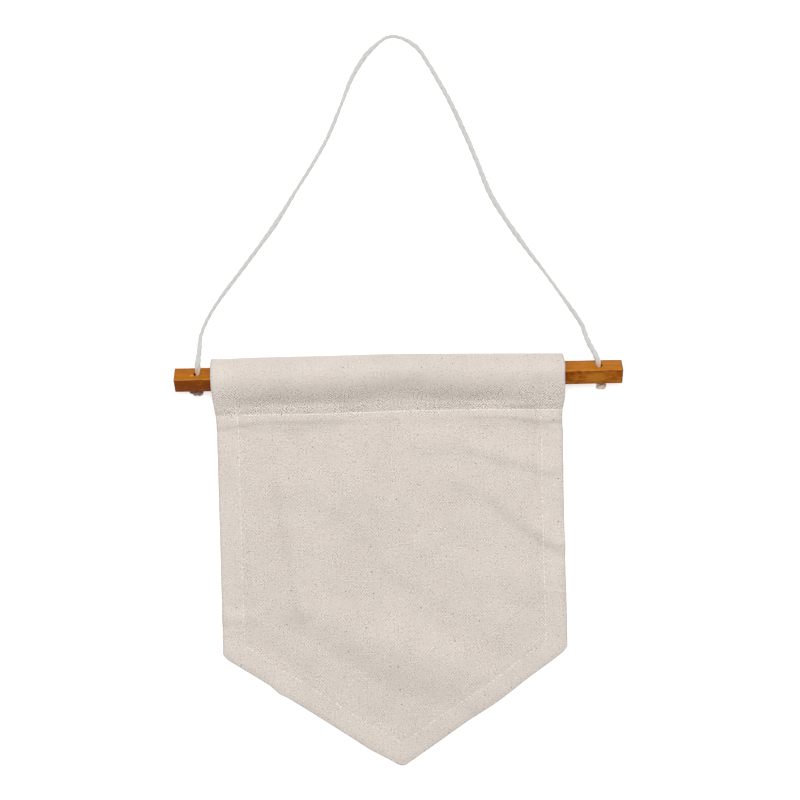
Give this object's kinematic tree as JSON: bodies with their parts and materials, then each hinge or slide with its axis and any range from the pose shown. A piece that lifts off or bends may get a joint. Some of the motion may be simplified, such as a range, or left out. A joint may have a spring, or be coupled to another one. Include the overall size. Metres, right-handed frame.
{
  "type": "canvas banner on a wooden stick",
  "caption": "Plain pennant of natural canvas with a V point and hemmed edges, hung from a square stained stick in its rod pocket, with a knotted cotton string to hang it by.",
  "frame": {"origin": "On the surface that the banner lies on, under the middle of the box that the banner and its stick fill together, without the string and its knots", "axes": "+X along the stick to the right, +Y up the banner from its point to the top of the string, +Z out of the cloth's face"},
  "size_m": [0.2744, 0.4526, 0.0179],
  "materials": {
    "natural_canvas": "undyed plain weave cotton canvas, matt, with small brown seed flecks",
    "stained_wood": "softwood stained orange brown, with a thin satin varnish",
    "cotton_string": "twisted off-white cotton string, matt"
  },
  "bodies": {
    "root": {"canvas_banner": "natural_canvas", "wooden_stick": "stained_wood", "hanging_string": "cotton_string", "left_knot": "cotton_string", "right_knot": "cotton_string"}
  },
  "joints": []
}
